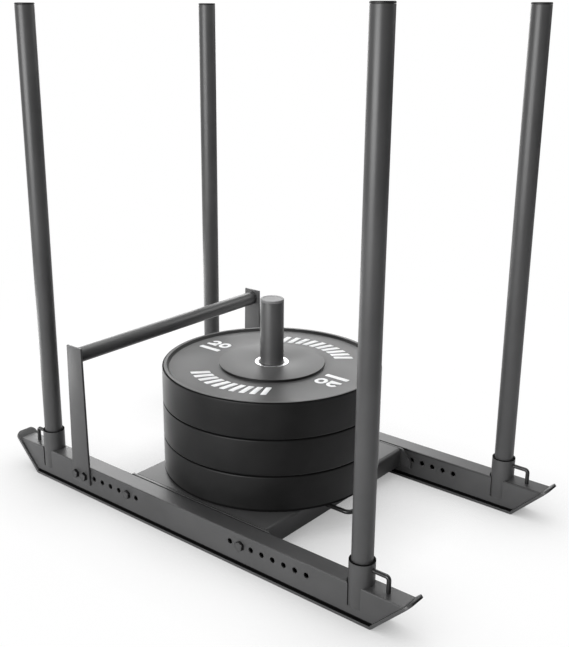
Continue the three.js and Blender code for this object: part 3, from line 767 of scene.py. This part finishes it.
# A raised ribbon between two edge lines, with side walls
def ribbonGrid(lineA, lineB, base, height, closed=False):
    mid = (lineA + lineB) / 2
    topA, topB = (mid + (line - mid) * markShares["strokeTop"] for line in (lineA, lineB))
    shoulder = base + height * markShares["strokeWall"]
    columns = [(lineA, base), (lineA, shoulder), (topA, base + height), (topB, base + height),
               (lineB, shoulder), (lineB, base)]
    points = np.stack([np.column_stack([xy, np.full(len(xy), z)]) for xy, z in columns], 1)
    if not closed:
        caps = np.repeat(points.mean(1, keepdims=True), points.shape[1], 1)
        points = np.concatenate([caps[:1], points, caps[-1:]])
    return points, closed, True


# The digit 2 as a centre line: an arc over the top, a sweep down to the left foot
def twoLine(wide, high):
    shares = markShares
    turn = np.radians(np.linspace(shares["bowFrom"], shares["bowTo"], shares["bowSteps"]))
    bow = np.stack([np.cos(turn) * wide / 2, high * 0.5 - wide / 2 + np.sin(turn) * wide / 2], -1)
    foot = np.array([[-wide / 2, -high / 2]])
    share = np.linspace(shares["sweepFrom"], 1, shares["sweepSteps"])[:, None]
    return np.concatenate([bow, bow[-1] + share * (foot - bow[-1])])


# The digit 0 as a closed centre line: a rounded box
def zeroLine(wide, high):
    return filleted(square * [wide / 2, high / 2], wide * markShares["zeroRound"], markShares["zeroSteps"])


# Turns plane figures about their origin and moves them to a place
def moved(points, x, y, angle):
    turn = np.array([[math.cos(angle), math.sin(angle)], [-math.sin(angle), math.cos(angle)]])
    return np.asarray(points, float) @ turn + [x, y]


# Plain number over a bar at two places, and slanting bars along two arcs
def makeMarks(name, faceZ, size):
    base, height = faceZ - size["sunk"], size["sunk"] + size["height"]
    stroke = size["stroke"]
    wide, high = size["digitWide"] - stroke, size["digitHigh"] - stroke
    step = (size["digitWide"] + size["digitGap"]) / 2
    footX = np.linspace(-size["digitWide"] / 2, size["digitWide"] / 2, size["footPoints"])
    foot = np.column_stack([footX, np.full(len(footX), -high / 2)])
    lines = [(twoLine(wide, high), -step, False, 0), (foot, -step, False, size["footLift"]),
             (zeroLine(wide, high), step, True, 0)]
    barWide = 2 * size["digitWide"] + size["digitGap"]
    bar = filleted(square * [barWide / 2, size["barHigh"] / 2], size["barEdge"], size["edgeSteps"])
    bar = bar - [0, size["barDrop"]]
    grids = []
    for place in size["places"]:
        for line, shift, closed, lift in lines:
            edges = strokeOutline(line, stroke, closed)
            edges = [moved(edge + [shift, size["digitRise"]], *place) for edge in edges]
            grids.append(ribbonGrid(*edges, base, height + lift, closed))
        grids.append(raisedGrid(moved(bar, *place), base, height))

    middleRadius = (size["slantHigh"] + size["slantLow"]) / 2
    slant = square * [size["slantWide"] / 2, (size["slantHigh"] - size["slantLow"]) / 2]
    slant[:, 0] += square[:, 1] * size["slantLean"] / 2
    slant = filleted(slant, size["slantEdge"], size["edgeSteps"]) + [0, middleRadius]
    for middle in size["arcs"]:
        for degree in middle + np.linspace(-0.5, 0.5, size["slantCount"]) * size["slantSpan"]:
            grids.append(raisedGrid(moved(slant, 0, 0, math.radians(degree - 90)), base, height))
    return meshPiece(name, grids, size["sharpAngle"])


for level in levels:
    body = f"weight_{level}"
    low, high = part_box(f"plate_{level}")
    plate = makePlate(f"rubberPlate.{level}", low, high, plateSizes)
    finishPiece(plate, body, plateRubber, [f"plate_{level}"])
    marks = makeMarks(f"plateMarks.{level}", high.z - plateSizes["recess"], markSizes)
    finishPiece(marks, body, markPaint, [])

    low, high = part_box(f"hub_ring_{level}")
    ring = makeRing(f"hubSteelRing.{level}", low, high, ringSizes)
    finishPiece(ring, body, hubSteel, [f"hub_ring_{level}"])
print("plates made")

# Push handle

postSizes = {"thickness": 5 * mm, "topWidth": 43.4 * mm, "footWidth": 53.5 * mm, "edge": 0.6 * mm}
barSizes = {"radius": 15.5 * mm, "bore": 13.5 * mm, "edge": 0.4 * mm, "sides": 96}

size = postSizes
for sideName in sides:
    low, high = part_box(f"handle_post_{sideName}")
    x, y = (low.x + high.x) / 2, (low.y + high.y) / 2
    path = np.array([[x, y, low.z], [x, y, (low.z + high.z) / 2], [x, y, high.z]])
    widths = np.linspace(size["footWidth"], size["topWidth"], len(path))
    strip = stripGrid(path, widths, (1, 0, 0), size["thickness"], size["edge"])
    post = meshPiece(f"handlePost.{sideName}", [strip])
    finishPiece(post, "frame", powderCoat, [f"handle_post_{sideName}"])

low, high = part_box("handle_bar")
x, z = (low.x + high.x) / 2, (low.z + high.z) / 2
outline = tubeOutline(barSizes, low.y, high.y, barSizes["edge"])
bar = meshPiece("pushBar", [turnedAlongY(outline, x, z, barSizes["sides"])])
finishPiece(bar, "frame", powderCoat, ["handle_bar"])
print("handle made")

# Bolts and nuts

boltSizes = {"across": 17 * mm, "head": 6.4 * mm, "shank": 5 * mm, "pitch": 1.5 * mm, "depth": 0.55 * mm,
             "thread": 14 * mm, "nutBore": 4.6 * mm, "chamferSlope": 0.55, "flat": 0.94, "play": 0.2 * mm,
             "sunk": 1 * mm, "overlap": 0.5 * mm, "taper": 1.2 * mm, "tipShare": 0.78, "hexSides": 96,
             "shankSides": 48, "stepsPerTurn": 8, "sharpAngle": 25, "faceLimit": 0.98}


# Hexagon that a cone trims: radius = apothem / cos(angle to the nearest flat), and the side wall ends
# where the cone crosses it. Heights run outwards along Y from the seat.
def hexGrid(size, height, bothEnds, bore):
    apothem = size["across"] / 2
    angle = np.linspace(0, 2 * np.pi, size["hexSides"], endpoint=False)
    radius = apothem / np.cos((angle + np.pi / 6) % (np.pi / 3) - np.pi / 6)
    trim = (radius - apothem * size["flat"]) * size["chamferSlope"]
    flat = np.full_like(angle, apothem * size["flat"])
    hole = np.full_like(angle, bore)
    zero = 0 * angle
    foot = trim if bothEnds else zero
    rows = [(hole, zero), (flat if bothEnds else radius, zero), (radius, foot), (radius, height - trim),
            (flat, zero + height), (hole, zero + height)]
    points = np.array([np.stack([r * np.cos(angle), h, r * np.sin(angle)], -1) for r, h in rows])
    return points, bore > 0, True


# Screw thread: radius = major - depth times a triangle wave of (length / pitch - angle / full turn)
def threadGrid(size, start, stop):
    angle = np.linspace(0, 2 * np.pi, size["shankSides"], endpoint=False)
    steps = int((stop - start) / size["pitch"] * size["stepsPerTurn"])
    along = np.linspace(start, stop, steps)[:, None]
    wave = np.abs(2 * ((along / size["pitch"] - angle / (2 * np.pi)) % 1) - 1)
    radius = size["shank"] - size["depth"] * wave
    taper = np.clip((stop - along) / size["taper"], 0, 1) * (1 - size["tipShare"]) + size["tipShare"]
    radius = radius * taper
    along = np.broadcast_to(along, radius.shape)
    points = np.stack([radius * np.cos(angle), along, radius * np.sin(angle)], -1)
    caps = np.stack([np.stack([0 * angle, 0 * angle + place, 0 * angle], -1) for place in (start, stop)])
    return np.concatenate([caps[:1], points, caps[1:]]), False, True


# Puts a grid made about the origin at a seat, with its +Y pointing the given way
def seated(grid, x, seat, z, way):
    points, closeRows, closeColumns = grid
    points = np.stack([x + points[..., 0], seat + way * points[..., 1], z + points[..., 2]], -1)
    return points, closeRows, closeColumns


size = boltSizes
fasteners = [(f"tray_bolt_{e}_{s}", f"tray_nut_{e}_{s}", sides[s]) for s in sides for e in ends]
fasteners += [(f"handle_bolt_{s}_{i}", f"handle_nut_{s}_{i}", sides[s]) for s in sides for i in (1, 2)]
for boltNode, nutNode, side in fasteners:
    low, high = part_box(boltNode)
    x, z = (low.x + high.x) / 2, (low.z + high.z) / 2
    outside, tip = (high.y, low.y) if side > 0 else (low.y, high.y)
    seat = outside - side * size["head"]
    length = abs(tip - seat)
    plainEnd = length - size["thread"]
    radius = size["shank"] - size["play"]
    smooth = [(0, -size["sunk"]), (radius, -size["sunk"]), (radius, plainEnd), (0, plainEnd)]
    head = seated(hexGrid(size, size["head"], False, 0), x, seat, z, side)
    shank = seated(turnedAlongY(smooth, 0, 0, size["shankSides"]), x, seat, z, -side)
    thread = seated(threadGrid(size, plainEnd - size["overlap"], length), x, seat, z, -side)
    bolt = meshPiece(f"hexBolt.{boltNode}", [head, shank, thread], size["sharpAngle"])
    finishPiece(bolt, "frame", boltSteel, [boltNode])
    # The flat end faces take the paler copy of the steel: painted light
    bolt.data.materials.append(paintedLightBoltFace)
    for face in bolt.data.polygons:
        face.material_index = int(abs(face.normal.y) > size["faceLimit"])

    low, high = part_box(nutNode)
    seat = high.y if side > 0 else low.y
    grid = seated(hexGrid(size, high.y - low.y, True, size["nutBore"]), x, seat, z, -side)
    nut = meshPiece(f"hexNut.{nutNode}", [grid], size["sharpAngle"])
    finishPiece(nut, "frame", boltSteel, [nutNode])
print("bolts made")

# Studio

studioSizes = {"floorRadius": 9.0, "floorSides": 96, "floorDrop": 0.2 * mm, "fadeFrom": 0.9, "fadeTo": 1.9,
               "floorGlow": 0.94, "floorColour": 0.72, "contact": 0.2, "contactShare": 0.75, "samples": 2}

# How much of the white background a glossy surface shows, by the direction it lies in:
# all of it towards one side of the room, little of it on the other, from the cosine of the angle between
mirrorSizes = {"azimuth": 152, "from": 0.45, "to": 0.92, "low": 0.06}


def mirrorShare(make, place, size):
    turn = math.radians(size["azimuth"])
    flat = make.node("ShaderNodeVectorMath", {"operation": "NORMALIZE"}, {0: make.flattened(place)})
    cosine = make.node("ShaderNodeVectorMath", {"operation": "DOT_PRODUCT"}, {
        0: flat, 1: (math.cos(turn), math.sin(turn), 0)}, out="Value")
    return make.eased(cosine, size["from"], size["to"], size["low"], 1.0)


# Whether a ray sees the background: yes for the camera and through glass, in part for a mirror
def seenShare(make, place, size):
    direct = make.node("ShaderNodeLightPath", out="Is Camera Ray")
    glass = make.node("ShaderNodeLightPath", out="Is Transmission Ray")
    gloss = make.node("ShaderNodeLightPath", out="Is Glossy Ray")
    return direct + glass + gloss * mirrorShare(make, place, size)


# Pale floor: matt, with a glow for camera, mirror and glass rays that weakens where the sled shades the
# floor closely, as a painted contact shadow from ambient occlusion, and that fades to the plain white of
# the backdrop away from the sled
def floorMaterial(name, size):
    make = Maker(bpy.data.materials.new(name))
    place = make.place()
    fade = make.eased(make.length(place), size["fadeFrom"], size["fadeTo"])
    near = make.node("ShaderNodeAmbientOcclusion", {"samples": size["samples"]}, {
        "Distance": size["contact"]}, out="AO")
    near = 1 - (1 - near) * size["contactShare"]
    matt = make.node("ShaderNodeBsdfDiffuse", {}, {"Color": gray(size["floorColour"])})
    thin = make.node("ShaderNodeBsdfDiffuse", {}, {"Color": gray(1 - size["floorGlow"])})
    glow = make.node("ShaderNodeEmission", {}, {"Strength": near * size["floorGlow"]})
    shaded = make.node("ShaderNodeAddShader", {}, {0: thin, 1: glow})
    white = make.node("ShaderNodeEmission", {}, {"Strength": 1.0})
    shown = make.node("ShaderNodeMixShader", {}, {0: fade, 1: shaded, 2: white})
    seen = make.compute("MINIMUM", seenShare(make, place, mirrorSizes), 1.0)
    return make.finish(make.node("ShaderNodeMixShader", {}, {0: seen, 1: matt, 2: shown}))


# A disc just under the skids
angle = np.linspace(0, 2 * np.pi, studioSizes["floorSides"], endpoint=False)
reach = np.linspace(0, studioSizes["floorRadius"], 3)[:, None]
height = np.full((len(reach), len(angle)), -studioSizes["floorDrop"])
disc = np.stack([reach * np.cos(angle), reach * np.sin(angle), height], -1)
floor = meshPiece("studioFloor", [(disc, False, True)])
floor.data.materials.append(floorMaterial("paleFloor", studioSizes))

cameraSizes = {"place": (1.196715, -1.448833, 0.983557), "yaw": 0.70486, "pitch": 0.30778, "lens": 54.198,
               "sensor": 36, "shiftX": 0.0400, "shiftY": -0.01035, "near": 0.05, "far": 60}
lens = bpy.data.cameras.new("photoCamera")
lens.lens, lens.sensor_width = cameraSizes["lens"], cameraSizes["sensor"]
lens.shift_x, lens.shift_y = cameraSizes["shiftX"], cameraSizes["shiftY"]
lens.clip_start, lens.clip_end = cameraSizes["near"], cameraSizes["far"]
camera = bpy.data.objects.new("photoCamera", lens)
camera.location = cameraSizes["place"]
camera.rotation_euler = (math.pi / 2 - cameraSizes["pitch"], 0, cameraSizes["yaw"])
bpy.context.scene.collection.objects.link(camera)
bpy.context.scene.camera = camera

# Softboxes around the sled: azimuth from +X, height of the middle, radiance as a share of white
lampSizes = [
    {"name": "keySoftbox", "azimuth": -91, "distance": 11.0, "height": 2.3,
     "wide": 8.6, "high": 4.2, "white": 12.6},
    {"name": "backWall", "azimuth": 140, "distance": 5.0, "height": 2.1,
     "wide": 4.3, "high": 3.2, "white": 3.3},
    {"name": "lowCard", "azimuth": 190, "distance": 1.05, "height": 0.11,
     "wide": 1.5, "high": 0.2, "white": 4.0},
    {"name": "sideWall", "azimuth": 66, "distance": 4.6, "height": 3.0,
     "wide": 2.6, "high": 2.2, "white": 3.8},
    {"name": "topSoftbox", "azimuth": 120, "distance": 0.6, "height": 3.2,
     "wide": 2.5, "high": 2.5, "white": 3.8},
]
lampTarget = Vector((0, 0, 0.4))
for size in lampSizes:
    lamp = bpy.data.lights.new(size["name"], "AREA")
    lamp.shape, lamp.size, lamp.size_y = "RECTANGLE", size["wide"], size["high"]
    lamp.energy = math.pi * size["wide"] * size["high"] * size["white"]
    holder = bpy.data.objects.new(size["name"], lamp)
    turn = math.radians(size["azimuth"])
    holder.location = (size["distance"] * math.cos(turn), size["distance"] * math.sin(turn), size["height"])
    holder.rotation_euler = (lampTarget - holder.location).to_track_quat("-Z", "Y").to_euler()
    holder.visible_camera = False
    bpy.context.scene.collection.objects.link(holder)


# World: plain white for the camera and through glass, a dim room otherwise
worldSizes = {"room": 0.05}


def makeWorld(name, size):
    world = bpy.data.worlds.new(name)
    make = Maker(world)
    place = make.node("ShaderNodeTexCoord", out="Generated")
    strength = seenShare(make, place, mirrorSizes) * (1 - size["room"]) + size["room"]
    shader = make.node("ShaderNodeBackground", {}, {"Color": (1, 1, 1, 1), "Strength": strength})
    make.node("ShaderNodeOutputWorld", {}, {"Surface": shader})
    bpy.context.scene.world = world


makeWorld("whiteStudio", worldSizes)
bpy.context.scene.view_settings.view_transform = "Standard"
print("studio made")
